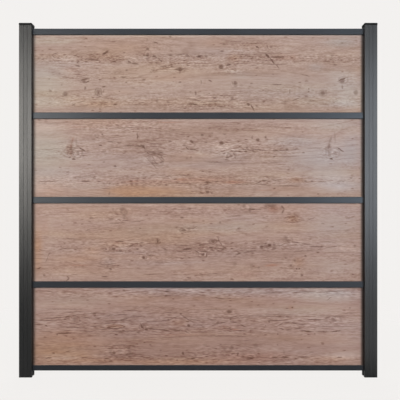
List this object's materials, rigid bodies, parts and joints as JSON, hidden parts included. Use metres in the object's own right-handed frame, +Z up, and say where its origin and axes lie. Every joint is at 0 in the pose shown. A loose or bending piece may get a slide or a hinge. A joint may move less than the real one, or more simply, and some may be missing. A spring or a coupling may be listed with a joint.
{
  "type": "laminate privacy fence panel",
  "caption": "Privacy fence panel: wood-grain laminate boards stacked between slim horizontal rails and held in the slots of square, capped posts.",
  "frame": {"origin": "on the ground, in the middle of the panel's width and depth", "axes": "+X along the panel to the right-hand post seen from the front, +Z up the posts, the front faces -Y"},
  "size_m": [1.922, 0.07, 1.9],
  "materials": {
    "post_coated": "satin",
    "cover_coated": "satin",
    "rail_coated": "satin",
    "cap_plastic": "matte",
    "board_laminate": "matte",
    "seal_rubber": "matte",
    "block_plastic": "matte",
    "screw_steel": "satin"
  },
  "bodies": {
    "root": {"bottom_board": "board_laminate", "bottom_board_left_seal": "seal_rubber", "bottom_board_lower_seal": "seal_rubber", "bottom_board_right_seal": "seal_rubber", "bottom_board_upper_seal": "seal_rubber", "bottom_rail": "rail_coated", "centre_rail": "rail_coated", "left_post": "post_coated", "left_post_back_cover": "cover_coated", "left_post_cap": "cap_plastic", "left_post_front_cover": "cover_coated", "left_post_outer_cover": "cover_coated", "left_retaining_block": "block_plastic", "left_support_block": "block_plastic", "lower_board": "board_laminate", "lower_board_left_seal": "seal_rubber", "lower_board_lower_seal": "seal_rubber", "lower_board_right_seal": "seal_rubber", "lower_board_upper_seal": "seal_rubber", "lower_middle_rail": "rail_coated", "retaining_block_screws": "screw_steel", "right_post": "post_coated", "right_post_back_cover": "cover_coated", "right_post_cap": "cap_plastic", "right_post_front_cover": "cover_coated", "right_post_outer_cover": "cover_coated", "right_retaining_block": "block_plastic", "right_support_block": "block_plastic", "support_block_screws": "screw_steel", "top_board": "board_laminate", "top_board_left_seal": "seal_rubber", "top_board_lower_seal": "seal_rubber", "top_board_right_seal": "seal_rubber", "top_board_upper_seal": "seal_rubber", "top_rail": "rail_coated", "upper_board": "board_laminate", "upper_board_left_seal": "seal_rubber", "upper_board_lower_seal": "seal_rubber", "upper_board_right_seal": "seal_rubber", "upper_board_upper_seal": "seal_rubber", "upper_middle_rail": "rail_coated"}
  },
  "joints": []
}
